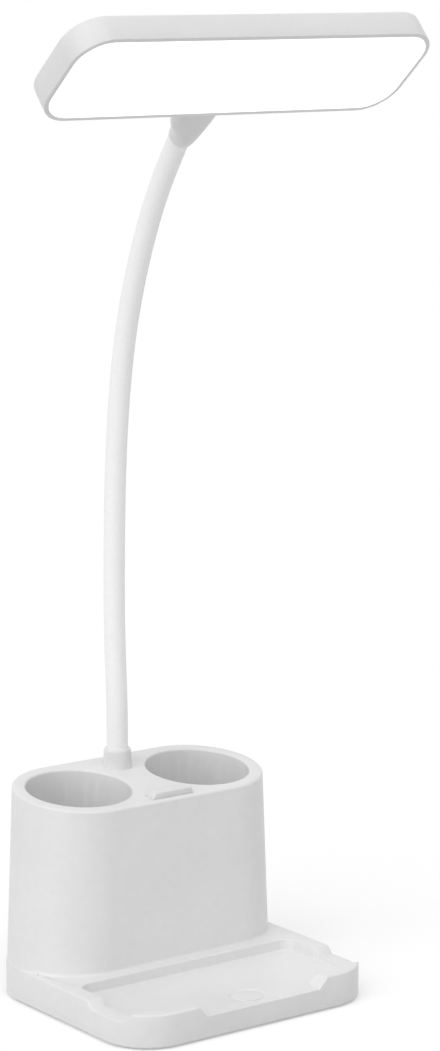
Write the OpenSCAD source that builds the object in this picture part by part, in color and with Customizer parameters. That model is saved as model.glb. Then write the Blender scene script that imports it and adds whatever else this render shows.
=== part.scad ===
// Gooseneck desk lamp on a pen-cup base with a phone tray.
// Frame: +Z up, -Y towards the user, origin under the middle of the lamp's
// footprint, on the desk. Modules work from the line through the cup centres,
// and placed() moves them to the frame's origin. All sizes are millimetres.

/* [Base] */
// Width of the base
base_w = 130; // [122:1:160]
// From the line through the cup centres to the front edge of the tray
tray_reach = 89.4; // [82:0.2:110]
// Height of the tray block's top face above the desk
tray_h = 15.2; // [13.5:0.1:20]
// Corner radius of the tray block
tray_corner_r = 22; // [16:1:26]
// Radius of the rounded ends of the cup block
body_r = 29.6; // [28.6:0.1:36]
// Height of the deck above the desk, at the line through the cup centres
deck_h = 91; // [82:1:110]
// Forward slope of the deck
deck_slope = 6.4; // [3:0.1:9]
// Step between the cup block's foot and the block itself
foot_step = 0.4; // [0.2:0.1:1]
// How far each end of the cup block leans in from the tray to the deck
end_lean = 3.4; // [1:0.1:5]
// Wall of the base moulding
wall = 2.2; // [1.8:0.1:2.8]

/* [Pen cups] */
// Distance between the two cup centres
cup_pitch = 64; // [60:1:68]
// Radius of a cup at the deck
cup_r = 23.3; // [20:0.1:24]
// How much narrower a cup's radius is at its floor
cup_draft = 0.9; // [0:0.1:2]
// Height of the cup floors above the desk
cup_floor_h = 25; // [25:0.5:34]
// Wall of a cup
cup_wall = 1.8; // [1.4:0.1:2.2]

/* [Phone tray] */
// Width of the strip between the cup block and the tray's hollow
tray_strip = 5.4; // [2:0.1:8]
// Width of the rim in front of the hollow
tray_rim = 8; // [6:0.5:12]
// Depth of the hollow
tray_depth = 4.9; // [4.3:0.1:6]
// Width of the front notch at its floor
front_notch_w = 60; // [40:1:66]
// Width of each side notch at its floor
side_notch_w = 21; // [16:1:24]
// From the line through the cup centres to the middle of the side notches
side_notch_at = 67; // [60:0.5:68]
// Depth of the side notches below the rim
side_notch_h = 3.2; // [2:0.1:4]
// Radius of the faint moulded ring in the tray
ring_r = 8; // [5:0.5:10]

/* [Neck] */
// Radius of the silicone sleeve
sleeve_r = 4.75; // [4.5:0.05:6]
// Radius of the steel core
core_r = 3.3; // [3:0.05:3.6]
// Radius of the wire way through the core
wire_way_r = 1.7; // [1.5:0.05:1.9]
// From the line through the cup centres back to the neck
neck_back = 16.5; // [14:0.5:17.5]
// Height of the first bend above the deck
first_bend_up = 31.5; // [16:0.5:50]
// Length of one link
link_len = 26; // [22:0.5:32]
// Wall of the collar round the sleeve
collar_wall = 1.65; // [1:0.05:3]
// Height of the collar above the deck
collar_h = 8.5; // [6:0.5:12]

/* [Head] */
// Length of the head
head_len = 180; // [150:1:216]
// Width of the head
head_w = 51; // [44:1:62]
// Thickness of the head's shell
head_t = 12.5; // [12:0.1:16]
// Corner radius of the head
head_corner_r = 15.5; // [10:0.5:20]
// Slope of the head's width above level
head_slope = 40.5; // [30:0.5:50]
// Wall of the head's shell, and width of the rim round the diffuser
head_wall = 2; // [1.6:0.1:2.6]
// From the head's back wall to the end of the neck, along the head
boss_reach = 27.1; // [26:0.1:32]
// How far the head's boss stands out round the sleeve where they meet
boss_lip = 0.25; // [0.1:0.05:1]
// Half width of the boss at the head's back wall
boss_half_w = 11.5; // [10:0.5:16]

/* [Controls and power] */
// Width of the power key at its foot
key_w = 21.4; // [18:0.2:22]
// Depth of the power key, front to back
key_d = 6; // [5:0.2:6.4]
// From the cup block's front face to the middle of the key
key_inset = 6.1; // [5.7:0.1:8]
// How far the key stands above the deck
key_h = 2.7; // [2:0.1:4]
// How far the key travels when pressed
key_travel = 1; // [0.6:0.1:1.2]
// Radius of the battery cell
cell_r = 9.1; // [7:0.1:9.1]
// Length of the battery cell
cell_len = 65; // [50:1:66]

/* [Hidden] */
$fn = 64;
links = 10;
// Lean of each link from upright, towards the user, as the neck stands
link_lean = [0, -3.5, -0.5, 1, 2.3, 5, 8.5, 14.3, 20.3, 26, 34];

fit = 0.3;             // gap between separate mouldings
slide_gap = 0.25;      // gap round the sliding key
bore_gap = 0.1;        // gap round a tube in its bore
head_gap = 0.15;       // gap round the diffuser
eps = 0.01;

// Base, from the desk up
foot_h = 0.8;                         // how far the feet stand below the base
foot_r = 5;
foot_inset = 1;                       // depth of a foot's pocket
cover_t = 2.2;
cover_top = foot_h + cover_t;
tray_w = base_w - 2 * tray_rim;
tray_back = body_r + tray_strip;
tray_floor = tray_h - tray_depth;
tray_floor_t = 2;
notch_slope = 0.86;                   // run of a notch's sloped end for its rise
front_notch_x = 2.2;                  // middle of the front notch
tray_inner_r = tray_corner_r - tray_rim;
tray_back_r = 6;                      // the hollow's corners at the cup block
deck_t = 2.5;
block_foot_r = body_r + foot_step;
body_end_low = base_w / 2 - block_foot_r;
body_end_top = body_end_low - end_lean;
body_lean = atan((body_end_low - body_end_top) / (deck_h - tray_h));
ring_back = 77;                       // ring's middle, from the cup line
ring_w = 1.2;
ring_step = 0.25;
ring_x = 2.5;

// Screw posts under the base
post_r = 3.2;
screw_r = 1.05;
screw_hole_r = 1.1;
screw_head_r = 2.3;
screw_head_h = 1.6;
front_post_in = 7;                    // from the round corner's edge
front_post = [base_w / 2 - tray_corner_r + (tray_corner_r - front_post_in) * sin(45),
              tray_reach - tray_corner_r + (tray_corner_r - front_post_in) * sin(45)];
rear_post = [52, 13];
front_screw_len = 7.5;
rear_screw_len = 12;
head_recess = screw_head_h + 0.2;

// Steel plate under the tray
plate_size = [96, 34, 3.5];
plate_at = -tray_back - 4 - plate_size[1] / 2;
stake_x = 38;
stake_r = 1.8;
stake_head = [2.8, 0.6];

// Battery cell, its saddles and its strap
cell_back = -2;                       // cell's axis, from the cup line
cell_z = cover_top + 0.6 + cell_r;
saddle_x = 14;
saddle_t = 4;
strap_w = 8;
strap_t = 0.8;
strap_x = 27.5;
strap_foot = 6;
strap_pad_h = 3;
strap_foot_t = 1.4;
cell_gap = 0.1;
strap_reach = cell_r + strap_foot / 2 + 1;

// Control board and charging socket
board_t = 1.6;
board_size = [46, 16.6];
board_gap = 1.1;                      // from the board to the back wall
board_back = body_r - wall - board_gap - board_size[1] / 2;
board_z = cover_top + 5;
standoff_r = 2.4;
standoff_x = 18;
socket_size = [9, 7.4, 3.2];
socket_mouth = [11.5, 6];             // opening for the plug's grip
socket_z = board_z + board_t;

// Power key, across the deck's slope
key_at = key_inset - body_r;
key_draft = 1.2;
key_flange = [18, 8, 1.2];
key_flange_back = -0.6;
key_stem_r = 2;
key_stem_end = -6.2;
switch_size = [6, 6, 3.5];
switch_z = -7.3 - switch_size[2];
switch_board_t = 1.2;
switch_board_size = [30.4, 5.6];
plunger_r = 1.6;
plunger_low = switch_z + key_travel + 0.4;
switch_well = 0.3;                    // floor left under the plunger's well
switch_post_x = 13.2;
switch_post_r = 2;

// Collar and its nut under the deck
collar_r = sleeve_r + bore_gap + collar_wall;
collar_stem_r = core_r + bore_gap + 1.5;
collar_round = [0.9, 1.8];            // width and height of the collar's sloped shoulder
neck_boss_r = 9.5;
neck_boss_z = deck_h - 5;
washer_t = 0.8;
nut_t = 4.2;
nut_r = 8.2;
core_bottom = neck_boss_z - washer_t - nut_t - 2;
deck_at_neck = deck_h + neck_back * tan(deck_slope);
collar_top = deck_at_neck + collar_h;
sleeve_bottom = deck_at_neck + 1;

first_bend_h = deck_h + first_bend_up;

// Ball ends of the links
dome_r = sleeve_r - 0.05;
socket_r = sleeve_r + 0.45;
core_start = dome_r + 0.3;            // core's lower end above a bend, clear of the dome
core_end = 0.4;                       // core's upper end below the next bend

// Where each bend lies, in [y, z] from the cup line
function lean_step(i) = link_len * [-sin(link_lean[i]), cos(link_lean[i])];
function bend_at(i) = i == 1 ? [neck_back, first_bend_h]
                             : bend_at(i - 1) + lean_step(i - 1);
neck_end = bend_at(links) + lean_step(links);
neck_lean = link_lean[links];

// Head, in its own frame: x along it, y towards its back, z from the diffuser's
// face up. The neck's end lies at head_neck in that frame.
head_neck = [0, head_w / 2 + boss_reach, 8.3];
head_y = neck_end[0] - head_neck[1] * cos(head_slope) - head_neck[2] * sin(head_slope);
head_z = neck_end[1] + head_neck[1] * sin(head_slope) - head_neck[2] * cos(head_slope);
boss_pitch = 90 - neck_lean - head_slope;  // neck's rise into the head's frame
boss_r = sleeve_r + boss_lip;
boss_wall = 1;
boss_face_t = 3.2;                    // wall that the neck's nut clamps
ferrule_r = core_r + 0.6;
ferrule_start = 1.4;                  // from the neck's end
ferrule_len = 8;
ferrule_nut_t = 1.8;
ferrule_nut_r = ferrule_r + 0.75;
boss_round = ferrule_nut_r + 0.25;    // radius of the boss's hollow round the nut
// The boss's sections: distance from the neck's end, half width, lowest and
// highest point in the head's frame
boss_sections = [
    [2.2, boss_round + boss_wall, head_neck[2] - boss_round - boss_wall, head_neck[2] + boss_round + boss_wall],
    [5.6, boss_round + boss_wall + 0.2, head_neck[2] - boss_round - boss_wall - 0.1, head_neck[2] + boss_round + boss_wall],
    [13, boss_half_w - 1.5, 4.1, head_t + 2],
    [boss_reach + 1, boss_half_w, 6.4, head_t - 0.2]];
diffuser_proud = 0.2;
diffuser_t = 2;
led_board_t = 1;
led_board_size = [150, 30];
led_board_z = 7.2;
led_size = [3.5, 2.8, 0.8];
led_columns = 12;
led_pitch = 12;
led_row = 7.5;
led_post = [68, 11];
led_post_r = 2.6;
wire_r = 1;
wire_sides = 8;

// The lamp stands with the middle of its whole footprint on the origin
head_front = head_w / 2 * cos(head_slope) - head_y;
lamp_front = max(tray_reach, head_front);
frame_shift = (lamp_front - block_foot_r) / 2;

base_nodes = ["base_shell", "base_cover", "rubber_feet", "cover_screws", "counterweight",
              "battery_cell", "battery_strap", "strap_screws", "control_board",
              "board_screws", "charge_socket", "power_key", "switch_plunger",
              "switch_body", "switch_board", "switch_screws", "neck_collar",
              "collar_washer", "collar_nut", "neck_wire"];
head_nodes = ["head_shell", "diffuser", "led_board", "leds", "led_board_screws",
              "neck_ferrule", "ferrule_nut"];

// ---------------------------------------------------------------- helpers

module placed() {
    translate([0, frame_shift, 0]) children();
}

// The deck's frame: its origin on the deck at the power key, z out of the deck
module on_deck(y) {
    translate([0, y, deck_h + y * tan(deck_slope)])
        rotate([deck_slope, 0, 0]) children();
}

module on_link(i) {
    p = i == 0 ? [neck_back, 0] : bend_at(i);
    translate([0, p[0], p[1]]) rotate([link_lean[i], 0, 0]) children();
}

module on_head() {
    translate([0, head_y, head_z]) rotate([-head_slope, 0, 0]) children();
}

// The neck's end, z along its last link into the head
module on_boss() {
    translate(head_neck) rotate([90 - boss_pitch, 0, 0]) children();
}

// The ferrule's line inside the boss, z along the head towards its back wall
module on_ferrule() {
    translate(head_neck) rotate([90, 0, 0]) children();
}

module both_sides() {
    children();
    mirror([1, 0, 0]) children();
}

// A rectangle with round corners, as true arcs
module round_rect(w, d, r) {
    square([w - 2 * r, d], center = true);
    square([w, d - 2 * r], center = true);
    for (x = [-1, 1]) {
        for (y = [-1, 1]) {
            translate([x * (w / 2 - r), y * (d / 2 - r)]) circle(r);
        }
    }
}

// A round-headed screw, its head's top on z = 0, its shank down
module screw(length) {
    cylinder(r = screw_head_r, h = screw_head_h);
    translate([0, 0, -length]) cylinder(r = screw_r, h = length + eps);
}

// ---------------------------------------------------------------- base

// Outline of the tray block, drawn in by inset
module base_outline(inset) {
    front = -tray_reach + tray_corner_r;
    corner = tray_corner_r - inset;
    translate([-base_w / 2 + inset, front]) square([base_w - 2 * inset, -front]);
    translate([-base_w / 2 + tray_corner_r, -tray_reach + inset])
        square([base_w - 2 * tray_corner_r, tray_corner_r]);
    both_sides() translate([base_w / 2 - tray_corner_r, front]) circle(corner);
    both_sides() translate([body_end_low, 0]) circle(block_foot_r - inset);
    translate([-body_end_low, -eps]) square([2 * body_end_low, block_foot_r - inset + eps]);
}

// The cup block: two leaning round ends and the prism between them
module body_block(inset, top) {
    low = -10;
    lean_low = body_end_low + (tray_h - low) * tan(body_lean);
    lean_top = body_end_low - (top - tray_h) * tan(body_lean);
    span = (top - low) / cos(body_lean);
    rotate([90, 0, 0])
        linear_extrude(2 * (body_r - inset), center = true)
            polygon([[-lean_low, low], [lean_low, low], [lean_top, top], [-lean_top, top]]);
    both_sides()
        translate([lean_low, 0, low])
            rotate([0, -body_lean, 0]) cylinder(r = body_r - inset, h = span, $fn = 96);
}

// Everything above the deck, lowered by depth
module above_deck(depth) {
    big = 2 * base_w;
    on_deck(0) translate([-big / 2, -big / 2, -depth]) cube([big, big, big]);
}

module below(z) {
    translate([-base_w, -base_w, z - 100]) cube([2 * base_w, 2 * base_w, 100]);
}

module body_solid(inset, depth) {
    difference() {
        body_block(inset, deck_h + 30);
        above_deck(depth);
        below(inset > 0 ? 0 : tray_h - 0.5);
    }
}

module tray_outline(grow) {
    back = -tray_back + grow;
    front = -tray_reach + tray_rim - grow;
    inner = tray_inner_r + grow;
    outer = tray_back_r + grow;
    translate([-tray_w / 2 - grow, front + inner])
        square([tray_w + 2 * grow, back - front - inner - outer]);
    translate([-tray_w / 2 - grow + outer, back - outer - eps])
        square([tray_w + 2 * grow - 2 * outer, outer + eps]);
    both_sides() translate([tray_w / 2 + grow - outer, back - outer]) circle(outer);
    translate([-tray_w / 2 - grow + inner, front])
        square([tray_w + 2 * grow - 2 * inner, inner + eps]);
    both_sides() translate([tray_w / 2 + grow - inner, front + inner]) circle(inner);
}

// A notch through the rim: a trapezoid along x, cut along y
module notch(width, low, length) {
    high = tray_h + 4;
    run = (high - low) * notch_slope;
    rotate([90, 0, 0])
        linear_extrude(length)
            polygon([[-width / 2, low], [width / 2, low],
                     [width / 2 + run, high], [-width / 2 - run, high]]);
}

module tray_hollow() {
    translate([0, 0, tray_floor]) linear_extrude(20) tray_outline(0);
    translate([front_notch_x, -tray_reach + tray_rim + 2, 0])
        notch(front_notch_w, tray_floor, tray_rim + 12);
    both_sides()
        translate([tray_w / 2 - 2, -side_notch_at, 0]) rotate([0, 0, 90])
            notch(side_notch_w, tray_h - side_notch_h, tray_rim + 12);
    translate([ring_x, -ring_back, tray_floor - ring_step])
        difference() {
            cylinder(r = ring_r, h = 1);
            translate([0, 0, -1]) cylinder(r = ring_r - ring_w, h = 3);
        }
}

// Hollow under the tray and inside the cup block
module base_cavity() {
    translate([0, 0, -eps])
        linear_extrude(tray_floor - tray_floor_t) base_outline(wall);
    difference() {
        body_solid(wall, deck_t);
        translate([-base_w, -2 * tray_reach - body_r + wall, tray_floor - tray_floor_t])
            cube([2 * base_w, 2 * tray_reach, 3]);
    }
}

module cup_hollow() {
    top = deck_h + 12;
    grow = cup_draft * (top - cup_floor_h) / (deck_h - cup_floor_h);
    translate([cup_pitch / 2, 0, cup_floor_h])
        cylinder(r1 = cup_r - cup_draft, r2 = cup_r - cup_draft + grow, h = top - cup_floor_h);
}

module cup_tube() {
    translate([cup_pitch / 2, 0, cup_floor_h - cup_wall])
        cylinder(r = cup_r + cup_wall, h = deck_h + 20 - cup_floor_h);
}

module base_posts() {
    both_sides() {
        translate([front_post[0], -front_post[1], cover_top])
            cylinder(r = post_r, h = tray_floor - cover_top);
        translate([rear_post[0], rear_post[1], cover_top])
            cylinder(r = post_r, h = cup_floor_h - cover_top - cup_wall / 2);
    }
}

module base_post_holes() {
    both_sides() {
        translate([front_post[0], -front_post[1], -1])
            cylinder(r = screw_hole_r, h = cover_top + front_screw_len);
        translate([rear_post[0], rear_post[1], -1])
            cylinder(r = screw_hole_r, h = cover_top + rear_screw_len);
    }
}

module deck_supports() {
    translate([0, neck_back, neck_boss_z]) cylinder(r = neck_boss_r, h = 12);
    on_deck(key_at) {
        both_sides()
            translate([switch_post_x, 0, switch_z])
                cylinder(r = switch_post_r, h = -switch_z);
    }
}

module deck_openings() {
    translate([0, neck_back, deck_h - 20]) cylinder(r = collar_stem_r + bore_gap, h = 40);
    on_deck(key_at) {
        translate([0, 0, -deck_t / 2])
            cube([key_w + 2 * slide_gap, key_d + 2 * slide_gap, 3 * deck_t], center = true);
        both_sides()
            translate([switch_post_x, 0, switch_z - 1]) cylinder(r = screw_r - 0.1, h = 6);
    }
}

module socket_opening() {
    translate([0, body_r, socket_z + socket_size[2] / 2])
        rotate([90, 0, 0])
            linear_extrude(2 * wall + 4, center = true)
                round_rect(socket_mouth[0], socket_mouth[1], 2);
}

module base_shell() {
    color("whitesmoke") placed() difference() {
        union() {
            difference() {
                union() {
                    translate([0, 0, foot_h])
                        linear_extrude(tray_h - foot_h) base_outline(0);
                    body_solid(0, 0);
                }
                base_cavity();
            }
            intersection() {
                body_solid(wall / 2, 0);
                union() {
                    both_sides() cup_tube();
                    deck_supports();
                }
            }
            base_posts();
        }
        both_sides() cup_hollow();
        tray_hollow();
        deck_openings();
        base_post_holes();
        socket_opening();
    }
}

foot_places = [[base_w / 2 - 21, -58], [base_w / 2 - 19, -4]];

module base_cover() {
    color("gainsboro") placed() difference() {
        union() {
            translate([0, 0, foot_h]) linear_extrude(cover_t) base_outline(wall + fit);
            for (x = [-saddle_x, saddle_x]) {
                translate([x - saddle_t / 2, cell_back - cell_r + 1, cover_top - eps])
                    cube([saddle_t, 2 * cell_r - 2, cell_r * 0.7]);
            }
            both_sides() {
                translate([standoff_x, board_back, cover_top - eps])
                    cylinder(r = standoff_r, h = board_z - cover_top + eps);
                translate([stake_x, plate_at, cover_top - eps])
                    cylinder(r = stake_r, h = plate_size[2] + stake_head[1]);
                translate([stake_x, plate_at, cover_top + plate_size[2]])
                    cylinder(r = stake_head[0], h = stake_head[1]);
                for (y = [-1, 1]) {
                    translate([strap_x - strap_w / 2,
                               cell_back + y * strap_reach - strap_foot / 2, cover_top - eps])
                        cube([strap_w, strap_foot, strap_pad_h + eps]);
                }
            }
        }
        translate([0, cell_back, cell_z]) rotate([0, 90, 0])
            cylinder(r = cell_r + cell_gap, h = cell_len + 4, center = true);
        both_sides() {
            for (p = foot_places) {
                translate([p[0], p[1], foot_h - 1]) cylinder(r = foot_r + bore_gap, h = 1 + foot_inset);
            }
            for (p = [[front_post[0], -front_post[1]], rear_post]) {
                translate([p[0], p[1], foot_h - 1]) cylinder(r = screw_hole_r + 0.1, h = 6);
                translate([p[0], p[1], foot_h - 1]) cylinder(r = screw_head_r + 0.2, h = 1 + head_recess);
            }
            translate([standoff_x, board_back, board_z - 4]) cylinder(r = screw_hole_r, h = 5);
            for (y = [-1, 1]) {
                translate([strap_x, cell_back + y * strap_reach, foot_h + 1])
                    cylinder(r = screw_hole_r, h = 8);
            }
        }
    }
}

module rubber_feet() {
    color("lightgray") placed() both_sides() for (p = foot_places) {
        translate([p[0], p[1], 0]) cylinder(r = foot_r, h = foot_h + foot_inset);
    }
}

module cover_screws() {
    seat = foot_h + head_recess;
    color("silver") placed() both_sides() {
        translate([front_post[0], -front_post[1], seat]) mirror([0, 0, 1])
            screw(front_screw_len - 1);
        translate([rear_post[0], rear_post[1], seat]) mirror([0, 0, 1])
            screw(rear_screw_len - 1);
    }
}

module counterweight() {
    color("slategray") placed() difference() {
        translate([0, plate_at, cover_top])
            linear_extrude(plate_size[2]) round_rect(plate_size[0], plate_size[1], 3);
        both_sides() translate([stake_x, plate_at, cover_top - 1])
            cylinder(r = stake_r + bore_gap, h = plate_size[2] + 2);
    }
}

module battery_cell() {
    button_r = 2.8;
    color("steelblue") placed() translate([0, cell_back, cell_z]) rotate([0, 90, 0]) {
        cylinder(r = cell_r, h = cell_len - 1.5, center = true);
        translate([0, 0, cell_len / 2 - 1]) cylinder(r = button_r, h = 1.5);
    }
}

module battery_strap() {
    foot_z = cover_top + strap_pad_h;
    bore = cell_r + cell_gap;
    color("whitesmoke") placed() both_sides() difference() {
        union() {
            translate([strap_x - strap_w / 2, cell_back, cell_z]) rotate([0, 90, 0])
                cylinder(r = bore + strap_t, h = strap_w);
            for (y = [-1, 1]) {
                translate([strap_x - strap_w / 2, cell_back + y * strap_reach - strap_foot / 2,
                           foot_z])
                    cube([strap_w, strap_foot, strap_foot_t]);
                translate([strap_x - strap_w / 2,
                           cell_back + y * (bore + strap_t / 2) - strap_t / 2, foot_z])
                    cube([strap_w, strap_t, cell_z - foot_z]);
            }
        }
        translate([0, cell_back, cell_z]) rotate([0, 90, 0])
            cylinder(r = bore, h = 2 * cell_len, center = true);
        translate([0, cell_back - bore, cover_top - 10])
            cube([base_w, 2 * bore, cell_z - cover_top + 10]);
        for (y = [-1, 1]) {
            translate([strap_x, cell_back + y * strap_reach, cover_top])
                cylinder(r = screw_hole_r + 0.1, h = 9);
        }
    }
}

module strap_screws() {
    color("silver") placed() both_sides() for (y = [-1, 1]) {
        translate([strap_x, cell_back + y * strap_reach, cover_top + strap_pad_h + strap_foot_t])
            screw(4);
    }
}

module control_board() {
    color("seagreen") placed() difference() {
        translate([0, board_back, board_z]) {
            linear_extrude(board_t) round_rect(board_size[0], board_size[1], 1);
            translate([-14, -7, board_t - eps]) cube([5, 5, 1.6]);
            translate([-4, -7, board_t - eps]) cube([4, 4, 2.4]);
            translate([11, -5, board_t - eps]) cylinder(r = 2.6, h = 5);
        }
        both_sides() translate([standoff_x, board_back, board_z - 1])
            cylinder(r = screw_hole_r + 0.1, h = board_t + 6);
    }
}

module board_screws() {
    color("silver") placed() both_sides()
        translate([standoff_x, board_back, board_z + board_t]) screw(board_t + 3);
}

module charge_socket() {
    tongue = [6.4, 0.8];
    color("darkgray") placed()
        translate([0, body_r - wall - socket_size[1] / 2 + 0.6, socket_z + socket_size[2] / 2])
            rotate([90, 0, 0]) {
                difference() {
                    linear_extrude(socket_size[1], center = true)
                        round_rect(socket_size[0], socket_size[2], 1.4);
                    translate([0, 0, -1]) linear_extrude(socket_size[1], center = true)
                        round_rect(socket_size[0] - 0.6, socket_size[2] - 0.6, 1.1);
                }
                translate([0, 0, -1]) linear_extrude(socket_size[1] - 2, center = true)
                    square(tongue, center = true);
            }
}

// ---------------------------------------------------------------- power key

module power_key() {
    half = key_w / 2;
    color("whitesmoke") placed() on_deck(key_at) {
        rotate([90, 0, 0])
            linear_extrude(key_d, center = true)
                polygon([[-half, -deck_t], [half, -deck_t], [half, 0], [half - key_draft, key_h],
                         [-half + key_draft, key_h], [-half, 0]]);
        translate([-key_flange[0] / 2, key_flange_back - key_flange[1] / 2 + 0.8,
                   -deck_t - slide_gap - key_flange[2]])
            cube([key_flange[0], key_flange[1] - 0.6, key_flange[2]]);
        translate([-key_flange[0] / 2, -key_d / 2, -deck_t - slide_gap - eps])
            cube([key_flange[0], key_d, slide_gap + 2 * eps]);
        translate([0, 0, key_stem_end]) cylinder(r = key_stem_r, h = -key_stem_end - deck_t);
    }
}

module switch_plunger() {
    color("dimgray") placed() on_deck(key_at)
        translate([0, 0, plunger_low]) cylinder(r = plunger_r, h = key_stem_end - plunger_low);
}

module switch_body() {
    color("dimgray") placed() on_deck(key_at) difference() {
        translate([-switch_size[0] / 2, -switch_size[1] / 2, switch_z]) cube(switch_size);
        translate([0, 0, switch_z + switch_well])
            cylinder(r = plunger_r + bore_gap, h = switch_size[2]);
    }
}

module switch_board() {
    color("seagreen") placed() on_deck(key_at) difference() {
        translate([0, 0, switch_z - switch_board_t])
            linear_extrude(switch_board_t) round_rect(switch_board_size[0], switch_board_size[1], 1);
        both_sides() translate([switch_post_x, 0, switch_z - 3]) cylinder(r = screw_hole_r + 0.1, h = 5);
    }
}

module switch_screws() {
    color("silver") placed() on_deck(key_at) both_sides()
        translate([switch_post_x, 0, switch_z - switch_board_t]) mirror([0, 0, 1]) {
            cylinder(r = 1.9, h = 1.3);
            translate([0, 0, -switch_board_t - 4]) cylinder(r = screw_r - 0.15, h = switch_board_t + 4 + eps);
        }
}

// ---------------------------------------------------------------- collar

module neck_collar() {
    color("whitesmoke") placed() difference() {
        union() {
            difference() {
                union() {
                    translate([0, neck_back, deck_h - 4])
                        cylinder(r = collar_r, h = collar_top - collar_round[1] - deck_h + 4);
                    translate([0, neck_back, collar_top - collar_round[1]])
                        cylinder(r1 = collar_r, r2 = collar_r - collar_round[0], h = collar_round[1]);
                }
                difference() {
                    translate([-20, -20, deck_h - 30]) cube([40, 60, 60]);
                    above_deck(0);
                }
            }
            translate([0, neck_back, core_bottom + 2])
                cylinder(r = collar_stem_r, h = deck_at_neck - core_bottom - 1);
        }
        translate([0, neck_back, core_bottom]) cylinder(r = core_r + bore_gap, h = 60);
        translate([0, neck_back, sleeve_bottom - eps]) cylinder(r = sleeve_r + bore_gap, h = 60);
    }
}

module collar_washer() {
    color("silver") placed() translate([0, neck_back, neck_boss_z - washer_t]) difference() {
        cylinder(r = neck_boss_r - 0.5, h = washer_t);
        translate([0, 0, -1]) cylinder(r = collar_stem_r + bore_gap, h = 3);
    }
}

module collar_nut() {
    color("silver") placed() translate([0, neck_back, neck_boss_z - washer_t - nut_t]) difference() {
        cylinder(r = nut_r, h = nut_t, $fn = 6);
        translate([0, 0, -1]) cylinder(r = collar_stem_r + bore_gap / 2, h = nut_t + 2);
    }
}

// ---------------------------------------------------------------- neck

module neck_core(i) {
    low = i == 0 ? core_bottom : core_start;
    high = i == 0 ? first_bend_h - core_end : i == links ? link_len : link_len - core_end;
    past = i == links ? 0 : 1;
    color("silver") placed() difference() {
        union() {
            on_link(i) translate([0, 0, low]) cylinder(r = core_r, h = high - low);
            if (i == links) {
                on_head() on_ferrule() cylinder(r = core_r, h = ferrule_start + ferrule_len);
                on_head() translate(head_neck) sphere(core_r + 0.05);
            }
        }
        on_link(i) translate([0, 0, low - 1]) cylinder(r = wire_way_r, h = high - low + 1 + past);
        if (i == links) {
            on_head() on_ferrule() cylinder(r = wire_way_r, h = ferrule_start + ferrule_len + 1);
            on_head() translate(head_neck) sphere(wire_way_r + 0.05);
        }
    }
}

module neck_sleeve(i) {
    low = i == 0 ? sleeve_bottom : 0;
    high = i == 0 ? first_bend_h : link_len;
    color("white") placed() on_link(i) difference() {
        union() {
            translate([0, 0, low]) cylinder(r = sleeve_r, h = high - low);
            if (i < links) translate([0, 0, high]) sphere(dome_r);
        }
        translate([0, 0, low - 10]) cylinder(r = core_r + bore_gap, h = high - low + 30);
        if (i > 0) sphere(socket_r);
    }
}

// Route of the lamp's two-core wire, from the control board to the lamp board
wire_start = [[-8, board_back + 2, board_z + board_t], [-8, board_back + 2, board_z + board_t + 8],
              [-6, 18, 30],
              [-2, 17, 42], [0, neck_back, 52], [0, neck_back, 66], [0, neck_back, core_bottom]];
wire_links = [for (i = [1 : links]) let (p = bend_at(i)) [0, p[0], p[1]]];
function from_head(p) = [p[0],
    head_y + p[1] * cos(head_slope) + p[2] * sin(head_slope),
    head_z - p[1] * sin(head_slope) + p[2] * cos(head_slope)];
wire_on_board = led_board_z + led_board_t + wire_r + 0.05;
wire_out = ferrule_start + ferrule_len + 1;
wire_end = [from_head(head_neck), from_head(head_neck - [0, wire_out, 0]),
            from_head([0, head_w / 2 + 6, wire_on_board]), from_head([0, 4, wire_on_board])];
wire_points = concat(wire_start, wire_links, wire_end);

function unit(v) = v / norm(v);
function wire_dir(p, k) =
    k == 0 ? unit(p[1] - p[0]) :
    k == len(p) - 1 ? unit(p[k] - p[k - 1]) :
    unit(unit(p[k] - p[k - 1]) + unit(p[k + 1] - p[k]));
function ring_at(p, d, r, n) =
    let (u = unit(cross([1, 0, 0], d)), v = cross(d, u))
    [for (j = [0 : n - 1]) p + r * (cos(360 * j / n) * u + sin(360 * j / n) * v)];

module neck_wire() {
    p = wire_points;
    n = wire_sides;
    last = len(p) - 1;
    rings = [for (k = [0 : last]) each ring_at(p[k], wire_dir(p, k), wire_r, n)];
    skin = [for (k = [0 : last - 1]) for (j = [0 : n - 1])
            [k * n + j, (k + 1) * n + j, (k + 1) * n + (j + 1) % n, k * n + (j + 1) % n]];
    start_cap = [for (j = [0 : n - 1]) j];
    end_cap = [for (j = [n - 1 : -1 : 0]) last * n + j];
    color("dimgray") placed() polyhedron(rings, concat([start_cap, end_cap], skin));
}

// ---------------------------------------------------------------- head

// One thin elliptic disc of the boss, inset from its section
module boss_disc(section, inset) {
    low = section[2] + inset;
    high = section[3] - inset;
    translate([0, head_neck[1] - section[0], (low + high) / 2]) rotate([90, 0, 0])
        scale([section[1] - inset, (high - low) / 2, 1]) cylinder(r = 1, h = 0.3, $fn = 32);
}

module boss_body() {
    hull() {
        on_boss() cylinder(r = boss_r, h = 0.3, $fn = 32);
        boss_disc(boss_sections[0], 0);
    }
    for (i = [0 : len(boss_sections) - 2]) {
        hull() {
            boss_disc(boss_sections[i], 0);
            boss_disc(boss_sections[i + 1], 0);
        }
    }
}

module boss_hollow() {
    start = concat([boss_face_t], [for (j = [1 : 3]) boss_sections[0][j]]);
    end = [boss_reach + 3, boss_half_w - 1, boss_sections[3][2] + 0.4, boss_sections[3][3] - 0.6];
    parts = [start, boss_sections[1], boss_sections[2], end];
    for (i = [0 : len(parts) - 2]) {
        hull() {
            boss_disc(parts[i], boss_wall);
            boss_disc(parts[i + 1], boss_wall);
        }
    }
}

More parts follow.
